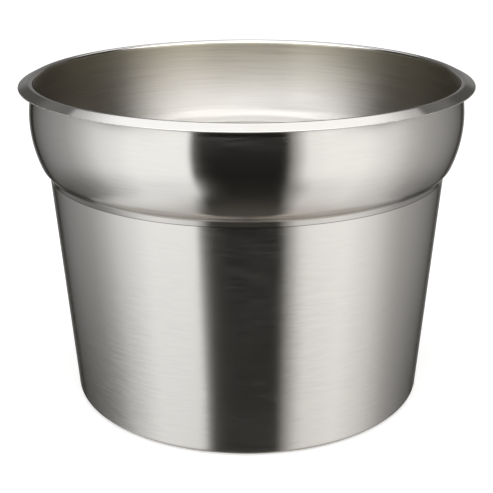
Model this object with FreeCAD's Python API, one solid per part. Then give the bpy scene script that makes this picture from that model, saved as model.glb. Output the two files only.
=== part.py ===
import FreeCAD, Part
import math
import os

# Soup kettle inset: one drawn stainless pot that stands on the floor plane, with its axis on Z.
# Sizes are in millimetres. A lean is in degrees from upright, positive outward.
SHEET = 0.8  # thickness of the sheet, the same all over

BASE_DIAMETER = 236.25  # across the wall's own line, where that line meets the floor
BASE_CORNER = 3.0  # outside radius between the base and the wall
WALL_LEAN = 4.27
WALL_HEIGHT = 151.0  # floor to the crease

CREASE_STEP = 0.1  # the draw line sets the sheet out by this much
CREASE_LEAN = 12.0  # just above the crease
SEAT_HOLLOW = 12.0  # radius of the hollow above the crease
SEAT_LEAN = 42.0  # steepest lean, where the hollow turns into the overhang
SEAT_CORNER = 13.0  # radius of the rounded underside that rests on a kettle's opening

SHOULDER_LEAN = 22.0  # where the rounded underside runs into the shoulder
SHOULDER_OVERHANG = 10.8  # widest girth beyond the top of the wall, on the radius
NECK_LEAN = -16.1  # the shoulder draws in again below the rim

RIM_ROLL = 2.6  # radius over the top of the rim, on the upper surface
RIM_FALL = 26.0  # slope of the flange below level
RIM_REACH = 7.03  # edge of the flange beyond the top of the roll, on the radius

LEVEL = 90.0  # lean of a level stretch that runs outward


# A place on the outer skin is (out, up, lean), and the skin runs on from it along its lean.
def ahead(place, length):
    out, up, lean = place
    angle = math.radians(lean)
    return (out + length * math.sin(angle), up + length * math.cos(angle), lean)


def turned(place, radius, lean):
    out, up, start_lean = place
    side = math.copysign(radius, lean - start_lean)
    start, end = math.radians(start_lean), math.radians(lean)
    out += side * (math.cos(start) - math.cos(end))
    up += side * (math.sin(end) - math.sin(start))
    return (out, up, lean)


# A straight stretch is its two ends, and a bend also has its middle.
def straight(place, length):
    return [place, ahead(place, length)]


def bend(place, radius, lean):
    middle_lean = (place[2] + lean) / 2
    return [place, turned(place, radius, middle_lean), turned(place, radius, lean)]


# The point at a depth into the sheet, square to the outer skin.
def point(place, depth):
    out, up, lean = place
    angle = math.radians(lean)
    return FreeCAD.Vector(out - depth * math.cos(angle), 0, up + depth * math.sin(angle))


def base_and_wall():
    lean = math.radians(WALL_LEAN)
    flat = BASE_DIAMETER / 2 + BASE_CORNER * (math.tan(lean) - 1 / math.cos(lean))
    base = straight((0.0, 0.0, LEVEL), flat)
    corner = bend(base[-1], BASE_CORNER, WALL_LEAN)
    rise = WALL_HEIGHT - corner[-1][1]
    return [base, corner, straight(corner[-1], rise / math.cos(lean))]


# Above the crease the sheet hollows out and turns over into the underside that carries the pot.
def seat(wall_top):
    out, up, _ = wall_top
    hollow = bend((out + CREASE_STEP, up, CREASE_LEAN), SEAT_HOLLOW, SEAT_LEAN)
    return [hollow, bend(hollow[-1], SEAT_CORNER, SHOULDER_LEAN)]


# The shoulder is one arc, as large as it takes to reach the widest girth upright.
def shoulder(seat_top, wall_top):
    spread = wall_top[0] + SHOULDER_OVERHANG - seat_top[0]
    radius = spread / (1 - math.cos(math.radians(SHOULDER_LEAN)))
    return bend(seat_top, radius, NECK_LEAN)


# The rim rolls outward from the neck and falls away as a short conical flange.
def rim(neck):
    under_roll = RIM_ROLL - SHEET
    roll = bend(neck, under_roll, LEVEL + RIM_FALL)
    edge_centre = turned(neck, under_roll, LEVEL)[0] + RIM_REACH - SHEET / 2
    width = edge_centre - point(roll[-1], SHEET / 2).x
    return [roll, straight(roll[-1], width / math.cos(math.radians(RIM_FALL)))]


def outline():
    stretches = base_and_wall()
    wall_top = stretches[-1][-1]
    stretches += seat(wall_top)
    stretches.append(shoulder(stretches[-1][-1], wall_top))
    stretches += rim(stretches[-1][-1])
    return stretches


# One skin of the sheet, with a short link where the draw line steps.
def skin(stretches, depth):
    edges = []
    last = point(stretches[0][0], depth)
    for stretch in stretches:
        points = [point(place, depth) for place in stretch]
        if not last.isEqual(points[0], Part.Precision.confusion()):
            edges.append(Part.LineSegment(last, points[0]).toShape())
        curve = Part.LineSegment if len(points) == 2 else Part.Arc
        edges.append(curve(*points).toShape())
        last = points[-1]
    return edges


# The bare edge of the flange is dressed to a half round.
def dressed_edge(flange_end):
    nose = ahead(flange_end, SHEET / 2)
    return Part.Arc(point(flange_end, 0), point(nose, SHEET / 2), point(flange_end, SHEET)).toShape()


def inset_pot():
    stretches = outline()
    centre = stretches[0][0]
    edges = skin(stretches, 0) + skin(stretches, SHEET)
    edges.append(dressed_edge(stretches[-1][-1]))
    edges.append(Part.LineSegment(point(centre, 0), point(centre, SHEET)).toShape())
    section = Part.Face(Part.Wire(Part.__sortEdges__(edges)))
    return section.revolve(FreeCAD.Vector(0, 0, 0), FreeCAD.Vector(0, 0, 1), 360)


pot = inset_pot()
box = pot.optimalBoundingBox()
print("rim diameter %.1f, height %.1f, sheet volume %.0f" % (box.XLength, box.ZLength, pot.Volume))
os.makedirs("parts", exist_ok=True)
pot.exportStep("parts/inset_pot.step")
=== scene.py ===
import math

import bmesh
import bpy
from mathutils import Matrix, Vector


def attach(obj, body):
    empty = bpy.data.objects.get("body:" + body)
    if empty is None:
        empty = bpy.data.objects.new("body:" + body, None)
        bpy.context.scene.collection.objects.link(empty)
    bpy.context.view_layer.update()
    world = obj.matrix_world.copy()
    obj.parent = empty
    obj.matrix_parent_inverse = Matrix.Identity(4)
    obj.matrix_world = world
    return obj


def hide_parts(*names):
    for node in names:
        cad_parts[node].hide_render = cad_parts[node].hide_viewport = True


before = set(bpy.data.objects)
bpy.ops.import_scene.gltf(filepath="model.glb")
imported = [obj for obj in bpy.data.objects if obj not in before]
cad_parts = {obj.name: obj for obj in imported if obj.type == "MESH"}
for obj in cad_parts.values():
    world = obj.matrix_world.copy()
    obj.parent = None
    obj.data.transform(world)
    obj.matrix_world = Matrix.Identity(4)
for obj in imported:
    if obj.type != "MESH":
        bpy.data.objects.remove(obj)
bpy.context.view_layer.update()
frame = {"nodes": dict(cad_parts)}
scene = bpy.context.scene
scene.view_settings.view_transform = "Standard"
print("frame loaded:", ", ".join(frame["nodes"]))


# One drawn sheet, with the section of the solid but for a finer hollow above the crease.
# Metres, and leans in degrees from upright, positive outward.
potSheet = {
    "thickness": 0.0008,
    "baseRadius": 0.118125,  # where the wall's own line meets the floor
    "baseCorner": 0.003,
    "wallLean": 4.27,
    "wallHeight": 0.15096,
    "creaseStep": 0.0001,
    "creaseLean": 15.0,
    "collarLength": 0.00318,
    "hollowRadius": 0.004,
    "hollowLean": 50.0,
    "seatRadius": 0.01088,
    "seatLean": 22.0,
    "overhang": 0.0108,  # widest girth beyond the top of the wall
    "neckLean": -16.1,
    "rollRadius": 0.0026,
    "lipLean": 22.0,  # the rim's polish ends here, inside the pot
    "flangeFall": 26.0,
    "flangeReach": 0.00698,  # beyond the top of the roll
    "facets": {"corner": 12, "hollow": 14, "seat": 14, "shoulder": 44, "lip": 12, "roll": 12},
    "edgeFacets": 10,
    "facetsRound": 256,
    "sharpAngle": 30.0,
}
levelLean = 90.0  # a level stretch that runs outward
straightLoops = (0.01, 0.99, 1.0)  # loops near both ends keep the shading true
sameSpot = 1e-6
sheetLayer = "alongSheet"  # length along the sheet from the middle of the base


def heading(lean):
    return Vector((math.sin(lean), 0, math.cos(lean)))


def sideways(lean):  # square to the sheet, towards the outside
    return Vector((math.cos(lean), 0, -math.sin(lean)))


def atDepth(place, depth):  # a point inside the sheet
    spot, lean = place
    return spot - sideways(lean) * depth


def straight(place, length):
    spot, lean = place
    return {"start": place, "end": (spot + heading(lean) * length, lean)}


def bend(place, radius, leanDegrees):
    spot, startLean = place
    lean = math.radians(leanDegrees)
    side = math.copysign(radius, lean - startLean)
    centre = spot + sideways(startLean) * side
    end = (centre - sideways(lean) * side, lean)
    return {"start": place, "end": end, "centre": centre, "turn": lean - startLean}


def potOutline(s):
    lean = math.radians(s["wallLean"])
    fall = math.radians(s["flangeFall"])
    flat = s["baseRadius"] + s["baseCorner"] * (math.tan(lean) - 1 / math.cos(lean))
    base = straight((Vector(), math.radians(levelLean)), flat)
    corner = bend(base["end"], s["baseCorner"], s["wallLean"])
    wall = straight(corner["end"], (s["wallHeight"] - corner["end"][0].z) / math.cos(lean))
    wallTop = wall["end"][0]
    creaseTop = (wallTop + Vector((s["creaseStep"], 0, 0)), math.radians(s["creaseLean"]))
    collar = straight(creaseTop, s["collarLength"])
    hollow = bend(collar["end"], s["hollowRadius"], s["hollowLean"])
    seat = bend(hollow["end"], s["seatRadius"], s["seatLean"])
    spread = wallTop.x + s["overhang"] - seat["end"][0].x
    shoulderRadius = spread / (1 - math.cos(math.radians(s["seatLean"])))
    shoulder = bend(seat["end"], shoulderRadius, s["neckLean"])
    underRoll = s["rollRadius"] - s["thickness"]
    lip = bend(shoulder["end"], underRoll, s["lipLean"])
    roll = bend(lip["end"], underRoll, levelLean + s["flangeFall"])
    crest = bend(shoulder["end"], underRoll, levelLean)["end"][0].x
    edgeCentre = crest + s["flangeReach"] - s["thickness"] / 2
    width = edgeCentre - atDepth(roll["end"], s["thickness"] / 2).x
    flange = straight(roll["end"], width / math.cos(fall))
    outline = {
        "base": base, "corner": corner, "wall": wall, "collar": collar, "hollow": hollow,
        "seat": seat, "shoulder": shoulder, "lip": lip, "roll": roll, "flange": flange,
    }
    for name, facets in s["facets"].items():
        outline[name]["facets"] = facets
    return outline


def drawStraight(bm, tip, target):
    start = tip.co.copy()
    for share in straightLoops:
        tip = bmesh.ops.extrude_vert_indiv(bm, verts=[tip])["verts"][0]
        bmesh.ops.translate(bm, verts=[tip], vec=start.lerp(target, share) - tip.co)
    return tip


def drawBend(bm, tip, centre, turn, facets):
    made = bmesh.ops.spin(
        bm, geom=[tip], cent=centre, axis=(0, 1, 0), angle=turn, steps=facets,
    )
    return [g for g in made["geom_last"] if isinstance(g, bmesh.types.BMVert)][0]


def drawSkin(bm, tip, outline, depth, marks, tag):
    inner = depth > 0  # the inner skin is drawn back from the rim's edge
    first, last = ("end", "start") if inner else ("start", "end")
    for name in reversed(outline) if inner else outline:
        run = outline[name]
        begin = atDepth(run[first], depth)
        if (begin - tip.co).length > sameSpot:  # the small step at the crease
            tip = drawStraight(bm, tip, begin)
        marks[tag + name] = tip
        if "centre" in run:
            turn = -run["turn"] if inner else run["turn"]
            tip = drawBend(bm, tip, run["centre"], turn, run["facets"])
        else:
            tip = drawStraight(bm, tip, atDepth(run[last], depth))
    return tip


def measureSheet(tip, along):
    last, length = None, 0.0
    while True:
        tip[along] = length
        ahead = [e for e in tip.link_edges if e is not last]
        if not ahead:
            return length
        last = ahead[0]
        length += last.calc_length()
        tip = last.other_vert(tip)


def buildPot(s):
    bm = bmesh.new()
    along = bm.verts.layers.float.new(sheetLayer)
    outline = potOutline(s)
    marks = {}
    first = bm.verts.new((0, 0, 0))
    tip = drawSkin(bm, first, outline, 0, marks, "")
    marks["edge"] = tip
    edgeCentre = atDepth(outline["flange"]["end"], s["thickness"] / 2)
    tip = drawBend(bm, tip, edgeCentre, -math.pi, s["edgeFacets"])
    drawSkin(bm, tip, outline, s["thickness"], marks, "inner ")
    total = measureSheet(first, along)
    starts = {name: vert[along] for name, vert in marks.items()}
    bmesh.ops.spin(
        bm, geom=bm.verts[:] + bm.edges[:], cent=(0, 0, 0), axis=(0, 0, 1),
        angle=math.tau, steps=s["facetsRound"], use_merge=True,
    )
    bmesh.ops.remove_doubles(bm, verts=bm.verts[:], dist=sameSpot)
    bmesh.ops.recalc_face_normals(bm, faces=bm.faces[:])
    order = list(finishes)
    for face in bm.faces:
        face.smooth = True
        middle = sum(v[along] for v in face.verts) / len(face.verts)
        finish = [name for start, name in finishFrom if middle >= starts[start]][-1]
        face.material_index = order.index(finish)
    mesh = bpy.data.meshes.new("insetPot")
    bm.to_mesh(mesh)
    bm.free()
    mesh.set_sharp_from_angle(angle=math.radians(s["sharpAngle"]))
    piece = bpy.data.objects.new("insetPot", mesh)
    scene.collection.objects.link(piece)
    print("pot drawn: sheet %.1f mm along, %d faces" % (total * 1000, len(mesh.polygons)))
    return piece, starts


colourA, colourB, mixedColour = 6, 7, 2  # a Mix node's sockets for colours


def mixColours(tree, factor, first, second, blend="MIX"):
    mix = tree.nodes.new("ShaderNodeMix")
    mix.data_type, mix.blend_type = "RGBA", blend
    tree.links.new(factor, mix.inputs["Factor"])
    tree.links.new(first, mix.inputs[colourA])
    if isinstance(second, tuple):  # one plain colour
        mix.inputs[colourB].default_value = (*second, 1)
    else:
        tree.links.new(second, mix.inputs[colourB])
    return mix.outputs[mixedColour]


# Brushing that runs round the pot: lines along the sheet, long streaks round it, and
# faint handling marks
brushing = {
    "layers": ((1.0, 2.0), (0.3, 3.0)),  # scale and detail of fine lines, then wider streaks
    "breakUp": 0.6,
    "widerShare": 0.2,
    "contrast": (0.34, 0.66),
    "handledScale": 14.0,
    "handledDetail": 3.0,
    "handledShare": 0.35,
    "creaseShade": 0.8,  # painted shade darkens the draw line a little
    "creaseShadeColour": (0.04, 0.036, 0.03),
    "creaseShadeWidth": 0.0005,
    "reliefDepth": 0.0001,
    "glossTurn": 0.25,  # gloss spreads across the brushing
}


def brushGroup(s):
    group = bpy.data.node_groups.new("brushedGrain", "ShaderNodeTree")
    amounts = ("Smoothest", "Roughest", "Lines", "Streaks", "Crease", "Least Metallic")
    sockets = (
        ("INPUT", "NodeSocketColor", ("Light Metal", "Dark Metal")),
        ("INPUT", "NodeSocketFloat", amounts),
        ("OUTPUT", "NodeSocketColor", ("Colour",)),
        ("OUTPUT", "NodeSocketFloat", ("Roughness", "Height", "Metallic")),
    )
    for way, kind, names in sockets:
        for name in names:
            group.interface.new_socket(name=name, in_out=way, socket_type=kind)
    new, link = group.nodes.new, group.links.new
    given, result = new("NodeGroupInput"), new("NodeGroupOutput")
    place = new("ShaderNodeTexCoord")
    split = new("ShaderNodeSeparateXYZ")
    link(place.outputs["Object"], split.inputs[0])
    sheet = new("ShaderNodeAttribute")
    sheet.attribute_name = sheetLayer
    surface = new("ShaderNodeCombineXYZ")
    link(split.outputs["X"], surface.inputs["X"])
    link(split.outputs["Y"], surface.inputs["Y"])
    link(sheet.outputs["Fac"], surface.inputs["Z"])
    pitch = new("ShaderNodeCombineXYZ")
    link(given.outputs["Streaks"], pitch.inputs["X"])
    link(given.outputs["Streaks"], pitch.inputs["Y"])
    link(given.outputs["Lines"], pitch.inputs["Z"])
    layers = []
    for scale, detail in s["layers"]:
        sized = new("ShaderNodeVectorMath")
        sized.operation = "SCALE"
        sized.inputs["Scale"].default_value = scale
        link(pitch.outputs[0], sized.inputs[0])
        stretched = new("ShaderNodeVectorMath")
        stretched.operation = "MULTIPLY"
        link(surface.outputs[0], stretched.inputs[0])
        link(sized.outputs[0], stretched.inputs[1])
        noise = new("ShaderNodeTexNoise")
        noise.inputs["Scale"].default_value = 1.0  # the pitch has set it already
        noise.inputs["Detail"].default_value = detail
        noise.inputs["Roughness"].default_value = s["breakUp"]
        link(stretched.outputs[0], noise.inputs["Vector"])
        layers.append(noise)
    grain = new("ShaderNodeMix")
    grain.inputs["Factor"].default_value = s["widerShare"]
    link(layers[0].outputs["Fac"], grain.inputs["A"])
    link(layers[1].outputs["Fac"], grain.inputs["B"])
    contrast = new("ShaderNodeMapRange")
    for socket, limit in zip(("From Min", "From Max"), s["contrast"]):
        contrast.inputs[socket].default_value = limit
    link(grain.outputs[0], contrast.inputs["Value"])
    link(contrast.outputs[0], result.inputs["Height"])
    handled = new("ShaderNodeTexNoise")
    handled.inputs["Scale"].default_value = s["handledScale"]
    handled.inputs["Detail"].default_value = s["handledDetail"]
    link(place.outputs["Object"], handled.inputs["Vector"])
    wear = new("ShaderNodeMix")
    wear.inputs["Factor"].default_value = s["handledShare"]
    link(contrast.outputs[0], wear.inputs["A"])
    link(handled.outputs["Fac"], wear.inputs["B"])
    rough = new("ShaderNodeMapRange")
    link(wear.outputs[0], rough.inputs["Value"])
    link(given.outputs["Smoothest"], rough.inputs["To Min"])
    link(given.outputs["Roughest"], rough.inputs["To Max"])
    link(rough.outputs[0], result.inputs["Roughness"])
    dull = new("ShaderNodeMapRange")  # the deeper scratches are a little dull
    link(contrast.outputs[0], dull.inputs["Value"])
    link(given.outputs["Least Metallic"], dull.inputs["To Min"])
    link(dull.outputs[0], result.inputs["Metallic"])
    away = new("ShaderNodeMath")
    away.operation = "SUBTRACT"
    link(sheet.outputs["Fac"], away.inputs[0])
    link(given.outputs["Crease"], away.inputs[1])
    apart = new("ShaderNodeMath")
    apart.operation = "ABSOLUTE"
    link(away.outputs[0], apart.inputs[0])
    # painted shade: the colour is darkened in a thin line along the crease
    creaseShade = new("ShaderNodeMapRange")
    creaseShade.inputs["From Max"].default_value = s["creaseShadeWidth"]
    creaseShade.inputs["To Min"].default_value = s["creaseShade"]
    creaseShade.inputs["To Max"].default_value = 0.0
    link(apart.outputs[0], creaseShade.inputs["Value"])
    light, dark = given.outputs["Light Metal"], given.outputs["Dark Metal"]
    tint = mixColours(group, contrast.outputs[0], dark, light)
    creaseShaded = mixColours(group, creaseShade.outputs[0], tint, s["creaseShadeColour"])
    link(creaseShaded, result.inputs["Colour"])
    return group


def brushedMetal(name, look, grain, crease, rim):
    material = bpy.data.materials.new(name)
    material.use_nodes = True
    tree = material.node_tree
    nodes, link = tree.nodes, tree.links.new
    metal = nodes["Principled BSDF"]
    metal.inputs["Anisotropic"].default_value = look["anisotropy"]
    metal.inputs["Anisotropic Rotation"].default_value = brushing["glossTurn"]
    brushed = nodes.new("ShaderNodeGroup")
    brushed.node_tree = grain
    given = {
        "Light Metal": (*look["light"], 1), "Dark Metal": (*look["dark"], 1),
        "Smoothest": look["smoothest"], "Roughest": look["roughest"],
        "Lines": look["lines"], "Streaks": look["streaks"],
        "Crease": crease, "Least Metallic": look["leastMetallic"],
    }
    for socket, value in given.items():
        brushed.inputs[socket].default_value = value
    relief = nodes.new("ShaderNodeBump")
    relief.inputs["Strength"].default_value = look["relief"]
    relief.inputs["Distance"].default_value = brushing["reliefDepth"]
    colour = brushed.outputs["Colour"]
    if "bounced" in look:  # painted shade: the colour is darkened where one wall is seen in another
        bounces = nodes.new("ShaderNodeLightPath").outputs["Glossy Depth"]
        colour = mixColours(tree, bounces, colour, look["bounced"], "MULTIPLY")
    if "straw" in look:  # the metal is straw-coloured towards the rim
        sheet = nodes.new("ShaderNodeAttribute")
        sheet.attribute_name = sheetLayer
        near = nodes.new("ShaderNodeMapRange")
        near.inputs["From Min"].default_value = rim + look["strawDepth"]
        near.inputs["From Max"].default_value = rim
        link(sheet.outputs["Fac"], near.inputs["Value"])
        colour = mixColours(tree, near.outputs[0], colour, look["straw"], "MULTIPLY")
    link(colour, metal.inputs["Base Color"])
    link(brushed.outputs["Roughness"], metal.inputs["Roughness"])
    link(brushed.outputs["Metallic"], metal.inputs["Metallic"])
    link(brushed.outputs["Height"], relief.inputs["Height"])
    link(relief.outputs["Normal"], metal.inputs["Normal"])
    return material


# Lines and streaks are counts per metre
finishes = {
    "dullBase": {
        "light": (0.60, 0.59, 0.57), "dark": (0.50, 0.49, 0.47),
        "smoothest": 0.30, "roughest": 0.42, "lines": 1800, "streaks": 14,
        "relief": 0.15, "anisotropy": 0.8, "leastMetallic": 0.97,
    },
    "brushedWall": {
        "light": (0.66, 0.645, 0.62), "dark": (0.634, 0.62, 0.596),
        "smoothest": 0.11, "roughest": 0.24, "lines": 800, "streaks": 80,
        "relief": 0.04, "anisotropy": 0.95, "leastMetallic": 0.988,
    },
    "satinShoulder": {
        "light": (0.66, 0.645, 0.62), "dark": (0.635, 0.621, 0.597),
        "smoothest": 0.10, "roughest": 0.17, "lines": 900, "streaks": 60,
        "relief": 0.03, "anisotropy": 0.9, "leastMetallic": 0.997,
    },
    "polishedRim": {
        "light": (0.68, 0.671, 0.654), "dark": (0.65, 0.641, 0.625),
        "smoothest": 0.07, "roughest": 0.11, "lines": 3000, "streaks": 9,
        "relief": 0.02, "anisotropy": 0.6, "leastMetallic": 0.995,
    },
    "dressedEdge": {
        "light": (0.70, 0.685, 0.66), "dark": (0.62, 0.606, 0.583),
        "smoothest": 0.38, "roughest": 0.48, "lines": 2000, "streaks": 60,
        "relief": 0.05, "anisotropy": 0.0, "leastMetallic": 0.98,
    },
    "brushedInside": {
        "light": (0.87, 0.846, 0.81), "dark": (0.74, 0.72, 0.689),
        "smoothest": 0.34, "roughest": 0.58, "lines": 700, "streaks": 16,
        "relief": 0.05, "anisotropy": 1.0, "leastMetallic": 0.98,
        # bounced is painted shade for the inside as seen in its own reflections
        "bounced": (0.36, 0.343, 0.305), "straw": (0.92, 0.888, 0.765), "strawDepth": 0.045,
    },
}
# The stretch of sheet from which each finish runs on
finishFrom = (
    ("base", "dullBase"), ("corner", "brushedWall"), ("collar", "satinShoulder"),
    ("lip", "polishedRim"), ("edge", "dressedEdge"), ("inner flange", "polishedRim"),
    ("inner lip", "brushedInside"),
)

pot, starts = buildPot(potSheet)
grain = brushGroup(brushing)
for finishName, look in finishes.items():
    finish = brushedMetal(finishName, look, grain, starts["collar"], starts["inner lip"])
    pot.data.materials.append(finish)
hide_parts("inset_pot")
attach(pot, "root")
print("pot finished:", ", ".join(finishes))


def onlyInGloss(thing):
    thing.visible_camera = False
    thing.visible_diffuse = False
    thing.visible_shadow = False
    thing.visible_transmission = False
    thing.visible_volume_scatter = False


def addStage(name, bm):
    mesh = bpy.data.meshes.new(name)
    bm.to_mesh(mesh)
    bm.free()
    thing = bpy.data.objects.new(name, mesh)
    scene.collection.objects.link(thing)
    return thing


def bareMaterial(thing, name):
    material = bpy.data.materials.new(name)
    material.use_nodes = True
    thing.data.materials.append(material)
    tree = material.node_tree
    tree.nodes.remove(tree.nodes["Principled BSDF"])
    return tree


# Plain pale floor
floor = {"size": 8.0, "colour": (0.9, 0.9, 0.9), "lift": 0.4}


def buildFloor(s):
    bm = bmesh.new()
    bmesh.ops.create_grid(bm, x_segments=1, y_segments=1, size=s["size"] / 2)
    thing = addStage("studioFloor", bm)
    thing.visible_glossy = False
    tree = bareMaterial(thing, "paleFloor")
    nodes, link = tree.nodes, tree.links.new
    matt = nodes.new("ShaderNodeBsdfDiffuse")
    matt.inputs["Color"].default_value = (*s["colour"], 1)
    glow = nodes.new("ShaderNodeEmission")
    path = nodes.new("ShaderNodeLightPath")
    lift = nodes.new("ShaderNodeMath")
    lift.operation = "MULTIPLY"
    lift.inputs[1].default_value = s["lift"]
    link(path.outputs["Is Camera Ray"], lift.inputs[0])
    link(lift.outputs[0], glow.inputs["Strength"])
    both = nodes.new("ShaderNodeAddShader")
    link(matt.outputs[0], both.inputs[0])
    link(glow.outputs[0], both.inputs[1])
    link(both.outputs[0], nodes["Material Output"].inputs["Surface"])


# White panels, grey cards and black flags round the pot, seen only in the metal. Each band
# has its tones at angles from the front, and the elevations over which it takes over from
# the bands before it. A band with no left is the same on both sides.
cards = {
    "radius": 3.0,
    "segments": (48, 24),
    "rightTint": (1.0, 0.983, 0.965),  # the panel on the right is a little warmer
    "darkTint": (1.0, 0.95, 0.84),  # and so are dark cards
    "darkBelow": 0.25,
    "bands": (
        {
            "name": "level",
            "left": (
                (16, 0.01), (22, 0.03), (26, 0.16), (28.5, 1.3), (58, 1.3), (78, 1.0), (90, 0.68),
                (102, 0.46), (128, 0.25), (142, 0.12), (145, 0.025), (151, 0.025), (154.5, 0.22),
                (180, 0.26),
            ),
            "right": (
                (16, 0.01), (19, 0.03), (30, 1.2), (42, 1.3), (60, 1.28), (78, 0.97), (90, 0.67),
                (102, 0.49), (128, 0.27), (144, 0.13), (147, 0.04), (151, 0.04), (154.5, 0.24),
                (180, 0.26),
            ),
        },
        {
            "name": "low", "from": (-18, -32),
            "left": (
                (8, 0.018), (15, 0.04), (20, 0.1), (24, 0.36), (28, 1.06), (58, 1.06), (78, 0.65),
                (90, 0.38), (102, 0.23), (126, 0.11), (140, 0.075), (143, 0.02), (151, 0.02),
                (154.5, 0.18), (180, 0.2),
            ),
            "right": (
                (15, 0.018), (19, 0.05), (36, 0.95), (58, 1.1), (78, 0.87), (102, 0.4),
                (126, 0.18), (142, 0.1), (146, 0.03), (151, 0.03), (154.5, 0.18), (180, 0.2),
            ),
        },
        {
            "name": "floor front", "from": (-37.5, -41),
            "left": (
                (24.5, 0.04), (34, 0.88), (54, 1.07), (68, 1.06), (90, 0.8), (102, 0.56),
                (126, 0.32), (150, 0.18), (180, 0.3),
            ),
            "right": (
                (20, 0.04), (33, 0.92), (60, 1.02), (90, 0.71), (126, 0.29), (150, 0.18),
                (180, 0.3),
            ),
        },
        {
            "name": "floor", "from": (-42, -58), "tint": (1.0, 0.96, 0.9),
            "left": ((32, 0.09), (39, 0.55), (48, 0.62), (90, 0.56), (140, 0.55), (180, 0.45)),
            "right": ((25, 0.09), (35, 0.58), (44, 0.64), (84, 0.57), (110, 0.52), (180, 0.45)),
        },
        {
            "name": "under", "from": (-66, -80), "tint": (1.0, 0.93, 0.84),
            "right": ((0, 0.14), (40, 0.25), (104, 0.4), (150, 0.25), (180, 0.2)),
        },
        {
            "name": "raised", "from": (8, 16),
            "left": (
                (16, 0.01), (22, 0.03), (26, 0.16), (28.5, 1.3), (40, 1.3), (54, 1.0), (72, 0.02),
                (120, 0.02), (140, 0.1), (154, 0.1), (160, 0.22), (180, 0.22),
            ),
            "right": (
                (16, 0.01), (19, 0.03), (30, 1.2), (40, 1.3), (54, 1.0), (72, 0.02), (120, 0.02),
                (140, 0.1), (154, 0.1), (160, 0.22), (180, 0.22),
            ),
        },
        {
            "name": "high", "from": (26, 33),
            "left": (
                (0, 4.0), (18, 4.0), (34, 3.2), (54, 1.8), (76, 0.02), (125, 0.02), (145, 0.19),
                (180, 0.19),
            ),
            "right": (
                (0, 4.0), (18, 4.0), (34, 3.2), (54, 1.9), (74, 0.02), (125, 0.02), (145, 0.19),
                (180, 0.19),
            ),
        },
        {
            "name": "overhead edge", "from": (40, 41.6),
            "left": ((0, 3.0), (80, 3.0), (100, 0.03), (130, 0.03), (142, 0.6), (180, 0.6)),
            "right": ((0, 3.0), (76, 3.0), (96, 0.03), (130, 0.03), (142, 0.6), (180, 0.6)),
        },
        {
            "name": "overhead", "from": (41.5, 55),
            "left": ((0, 2.75), (98, 2.75), (118, 0.08), (130, 0.08), (142, 1.42), (180, 1.42)),
            "right": ((0, 2.75), (90, 2.75), (110, 0.08), (130, 0.08), (142, 1.42), (180, 1.42)),
        },
    ),
}


def cardColour(s, band, angle, tone):
    plain = (1, 1, 1)
    lit = min(tone / s["darkBelow"], 1)
    tints = (
        band.get("tint", plain),
        s["rightTint"] if angle > 0 else plain,
        [part + (1 - part) * lit for part in s["darkTint"]],
    )
    return (*[tone * math.prod(parts) for parts in zip(*tints)], 1)


def buildRing(nodes, s, band):
    ring = nodes.new("ShaderNodeValToRGB")
    ring.label = band["name"]
    ramp = ring.color_ramp.elements
    ramp.remove(ramp[1])
    left = [(-angle, tone) for angle, tone in band.get("left", band["right"]) if angle > 0]
    for i, (angle, tone) in enumerate([*reversed(left), *band["right"]]):
        share = 0.5 + angle / 360
        stop = ramp.new(share) if i else ramp[0]
        stop.position = share
        stop.color = cardColour(s, band, angle, tone)
    return ring


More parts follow.
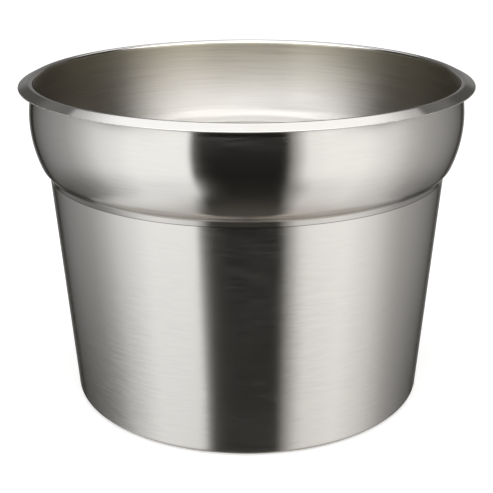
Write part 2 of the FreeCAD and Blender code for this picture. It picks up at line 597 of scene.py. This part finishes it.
def buildCards(s):
    bm = bmesh.new()
    across, up = s["segments"]
    bmesh.ops.create_uvsphere(bm, u_segments=across, v_segments=up, radius=s["radius"])
    thing = addStage("studioCards", bm)
    onlyInGloss(thing)
    tree = bareMaterial(thing, "cardTones")
    nodes, link = tree.nodes, tree.links.new
    place = nodes.new("ShaderNodeTexCoord")
    turned = nodes.new("ShaderNodeMapping")
    turned.inputs["Rotation"].default_value[2] = math.pi / 2  # the front is the ring's middle
    link(place.outputs["Object"], turned.inputs["Vector"])
    around = nodes.new("ShaderNodeTexGradient")
    around.gradient_type = "RADIAL"
    link(turned.outputs[0], around.inputs["Vector"])
    split = nodes.new("ShaderNodeSeparateXYZ")
    link(place.outputs["Object"], split.inputs[0])
    tone = None
    for band in s["bands"]:
        ring = buildRing(nodes, s, band)
        link(around.outputs["Fac"], ring.inputs["Fac"])
        if tone is None:
            tone = ring.outputs["Color"]
            continue
        share = nodes.new("ShaderNodeMapRange")
        share.interpolation_type = "SMOOTHSTEP"
        for socket, limit in zip(("From Min", "From Max"), band["from"]):
            share.inputs[socket].default_value = s["radius"] * math.sin(math.radians(limit))
        link(split.outputs["Z"], share.inputs["Value"])
        tone = mixColours(tree, share.outputs[0], tone, ring.outputs["Color"])
    glow = nodes.new("ShaderNodeEmission")
    link(tone, glow.inputs["Color"])
    link(glow.outputs[0], nodes["Material Output"].inputs["Surface"])


# Softbox over the pot that lights the floor. The metal sees the cards in its place.
softbox = {"height": 1.2, "width": 1.6, "radiance": 0.6}


def buildSoftbox(s):
    lamp = bpy.data.lights.new("topSoftbox", "AREA")
    lamp.size = s["width"]
    lamp.energy = s["radiance"] * math.pi * s["width"] ** 2
    thing = bpy.data.objects.new("topSoftbox", lamp)
    thing.location = (0, 0, s["height"])
    thing.visible_camera = False
    thing.visible_glossy = False
    scene.collection.objects.link(thing)


# White surroundings, also in the metal, and a plain level of light
surroundings = {"white": 1.0, "light": 0.7}


def buildWorld(s):
    world = bpy.data.worlds.new("studio")
    scene.world = world
    world.use_nodes = True
    nodes, link = world.node_tree.nodes, world.node_tree.links.new
    path = nodes.new("ShaderNodeLightPath")
    seen = path.outputs["Is Camera Ray"]
    for kind in ("Is Glossy Ray", "Is Transmission Ray"):
        either = nodes.new("ShaderNodeMath")
        either.operation = "MAXIMUM"
        link(seen, either.inputs[0])
        link(path.outputs[kind], either.inputs[1])
        seen = either.outputs[0]
    level = nodes.new("ShaderNodeMapRange")
    level.inputs["To Min"].default_value = s["light"]
    level.inputs["To Max"].default_value = s["white"]
    link(seen, level.inputs["Value"])
    back = nodes["Background"]
    back.inputs["Color"].default_value = (1, 1, 1, 1)
    link(level.outputs[0], back.inputs["Strength"])


buildFloor(floor)
buildCards(cards)
buildSoftbox(softbox)
buildWorld(surroundings)
print("studio set up")

# The photograph's viewpoint, found from the pot's outlines
viewpoint = {
    "lens": 78.0, "place": (-0.00035, -0.68964, 0.34263), "tilt": 0.347, "roll": -0.0025,
}
cameraData = bpy.data.cameras.new("camera")
cameraData.lens = viewpoint["lens"]
camera = bpy.data.objects.new("camera", cameraData)
camera.location = viewpoint["place"]
camera.rotation_mode = "ZXY"  # the roll comes first, about the line of sight
camera.rotation_euler = (math.pi / 2 - viewpoint["tilt"], 0, viewpoint["roll"])
scene.collection.objects.link(camera)
scene.camera = camera
